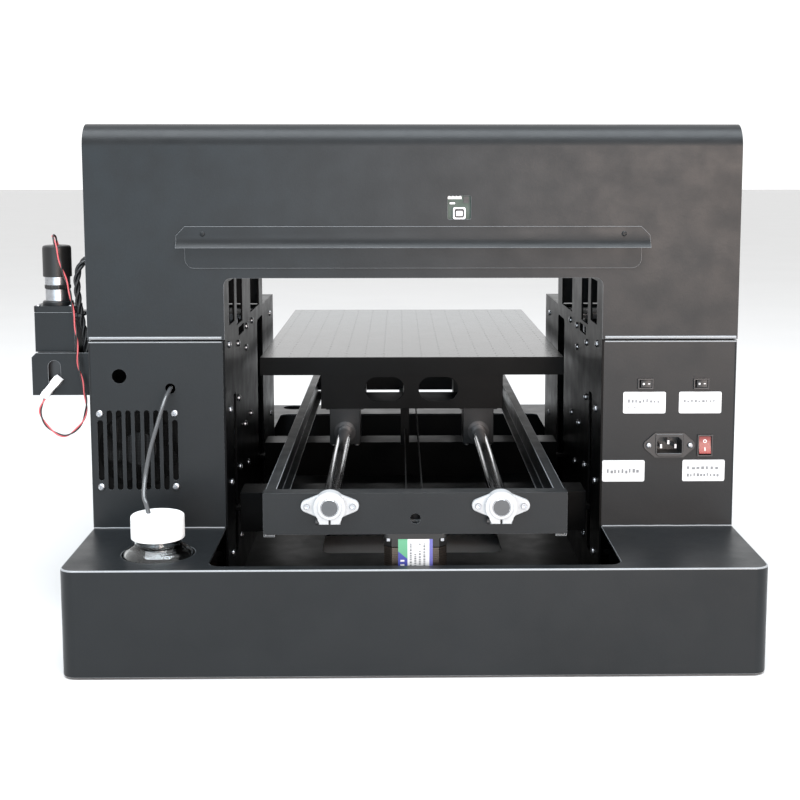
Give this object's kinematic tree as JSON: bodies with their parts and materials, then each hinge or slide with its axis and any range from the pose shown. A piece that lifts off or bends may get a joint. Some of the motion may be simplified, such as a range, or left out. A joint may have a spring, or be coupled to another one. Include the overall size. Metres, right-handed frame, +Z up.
{
  "type": "flatbed uv printer",
  "caption": "Table-top flatbed UV printer: folded black body with a hood over a passage, a sliding perforated table on a lifting rod frame, and rear power and cooling panel.",
  "frame": {"origin": "middle of the base's footprint on the surface that it stands on", "axes": "+Y to the operator's side, away from the rear panel that carries the power inlet; +X across the machine; +Z up"},
  "size_m": [0.684, 0.82, 0.485],
  "materials": {
    "body_black": "fine-textured satin black powder coat",
    "inner_black": "satin black powder coat",
    "foot_rubber": "matte",
    "zinc_steel": "satin zinc plated",
    "chrome": "polished",
    "cast_alloy": "bright satin",
    "black_plastic": "moulded",
    "white_plastic": "smooth",
    "red_plastic": "translucent red",
    "clear_plastic": "clear moulded",
    "label_white": "satin film",
    "motor_black": "satin",
    "belt_rubber": "matte moulded",
    "table_dark": "satin anodised",
    "cable_black": "satin jacket",
    "lead_red": "thin insulated pair",
    "tube_grey": "smoky flexible tube",
    "board_green": "circuit board"
  },
  "bodies": {
    "root": {"base_shell": "body_black", "base_floor": "inner_black", "rubber_feet": "foot_rubber", "left_tower": "body_black", "right_tower": "body_black", "left_inner_wall": "inner_black", "right_inner_wall": "inner_black", "hood_shell": "body_black", "hood_inner_panels": "inner_black", "rear_lip_plate": "body_black", "usb_module": "board_green", "power_inlet": "black_plastic", "switch_bezels": "black_plastic", "panel_labels": "label_white", "body_screws": "zinc_steel", "fan_frame": "black_plastic", "waste_bottle": "clear_plastic", "bottle_cap": "white_plastic", "waste_tube": "tube_grey", "lift_motors": "motor_black", "lift_guides": "zinc_steel", "gantry_posts": "inner_black", "gantry_beam": "cast_alloy", "x_motor": "motor_black", "x_belt": "belt_rubber", "cap_station": "black_plastic", "power_supply": "zinc_steel", "ink_bracket": "body_black", "ink_tank": "black_plastic", "stir_motor": "zinc_steel", "stir_lead": "lead_red", "side_cable": "cable_black", "deck_cable": "cable_black"},
    "fan_rotor_body": {"fan_rotor": "black_plastic"},
    "left_rocker_body": {"left_rocker": "black_plastic"},
    "right_rocker_body": {"right_rocker": "black_plastic"},
    "power_rocker_body": {"power_rocker": "red_plastic"},
    "left_lift_screw_body": {"left_lift_screw": "zinc_steel"},
    "right_lift_screw_body": {"right_lift_screw": "zinc_steel"},
    "lift_frame": {"crossbeams": "inner_black", "end_bars": "body_black", "side_rails": "body_black", "guide_rods": "chrome", "rod_supports": "cast_alloy", "motor_plate": "inner_black", "y_motor": "motor_black", "y_belt": "belt_rubber"},
    "drive_pulley_body": {"drive_pulley": "cast_alloy"},
    "idler_pulley_body": {"idler_pulley": "cast_alloy"},
    "table": {"carriage_box": "inner_black", "bearing_blocks": "cast_alloy", "belt_clamp": "inner_black", "table_tray": "table_dark", "table_plate": "table_dark"},
    "x_drive_pulley_body": {"x_drive_pulley": "cast_alloy"},
    "x_idler_pulley_body": {"x_idler_pulley": "cast_alloy"},
    "print_carriage_body": {"print_carriage": "inner_black", "print_head": "black_plastic", "uv_lamp": "cast_alloy"},
    "stir_paddle_body": {"stir_paddle": "white_plastic"}
  },
  "joints": [
    {"name": "fan_spin", "type": "hinge", "parent": "root", "child": "fan_rotor_body", "pos_m": [-0.2646, -0.257, 0.1747], "axis": [0, 1, 0], "continuous": true},
    {"name": "left_switch", "type": "hinge", "parent": "root", "child": "left_rocker_body", "pos_m": [0.2224, -0.2685, 0.238], "axis": [0, 0, 1], "range_deg": [-16, 0]},
    {"name": "right_switch", "type": "hinge", "parent": "root", "child": "right_rocker_body", "pos_m": [0.2761, -0.2685, 0.238], "axis": [0, 0, 1], "range_deg": [-16, 0]},
    {"name": "power_switch", "type": "hinge", "parent": "root", "child": "power_rocker_body", "pos_m": [0.281, -0.2685, 0.1777], "axis": [-1, 0, 0], "range_deg": [-16, 0]},
    {"name": "bed_lift", "type": "slide", "parent": "root", "child": "lift_frame", "axis": [0, 0, 1], "range_m": [-0.02, 0.06]},
    {"name": "left_screw_spin", "type": "hinge", "parent": "root", "child": "left_lift_screw_body", "pos_m": [-0.212, -0.2, 0.1], "axis": [0, 0, 1], "continuous": true},
    {"name": "right_screw_spin", "type": "hinge", "parent": "root", "child": "right_lift_screw_body", "pos_m": [0.212, -0.2, 0.1], "axis": [0, 0, 1], "continuous": true},
    {"name": "table_slide", "type": "slide", "parent": "lift_frame", "child": "table", "axis": [0, 1, 0], "range_m": [-0.28, 0.07]},
    {"name": "drive_pulley_spin", "type": "hinge", "parent": "lift_frame", "child": "drive_pulley_body", "pos_m": [0, -0.358, 0.136], "axis": [0, 0, 1], "continuous": true},
    {"name": "idler_pulley_spin", "type": "hinge", "parent": "lift_frame", "child": "idler_pulley_body", "pos_m": [0, 0.36, 0.136], "axis": [0, 0, 1], "continuous": true},
    {"name": "print_slide", "type": "slide", "parent": "root", "child": "print_carriage_body", "axis": [1, 0, 0], "range_m": [-0.46, 0.015]},
    {"name": "x_drive_spin", "type": "hinge", "parent": "root", "child": "x_drive_pulley_body", "pos_m": [-0.285, 0.01, 0.446], "axis": [0, 1, 0], "continuous": true},
    {"name": "x_idler_spin", "type": "hinge", "parent": "root", "child": "x_idler_pulley_body", "pos_m": [0.285, 0.01, 0.446], "axis": [0, 1, 0], "continuous": true},
    {"name": "stir_spin", "type": "hinge", "parent": "root", "child": "stir_paddle_body", "pos_m": [-0.353, -0.205, 0.25], "axis": [0, 0, 1], "continuous": true}
  ],
  "couplings": [
    {"joint": "left_screw_spin", "follows": "bed_lift", "rad_per_m": 785.4},
    {"joint": "right_screw_spin", "follows": "bed_lift", "rad_per_m": 785.4},
    {"joint": "drive_pulley_spin", "follows": "table_slide", "rad_per_m": -142.86},
    {"joint": "idler_pulley_spin", "follows": "table_slide", "rad_per_m": -142.86},
    {"joint": "x_drive_spin", "follows": "print_slide", "rad_per_m": -142.86},
    {"joint": "x_idler_spin", "follows": "print_slide", "rad_per_m": -142.86}
  ]
}
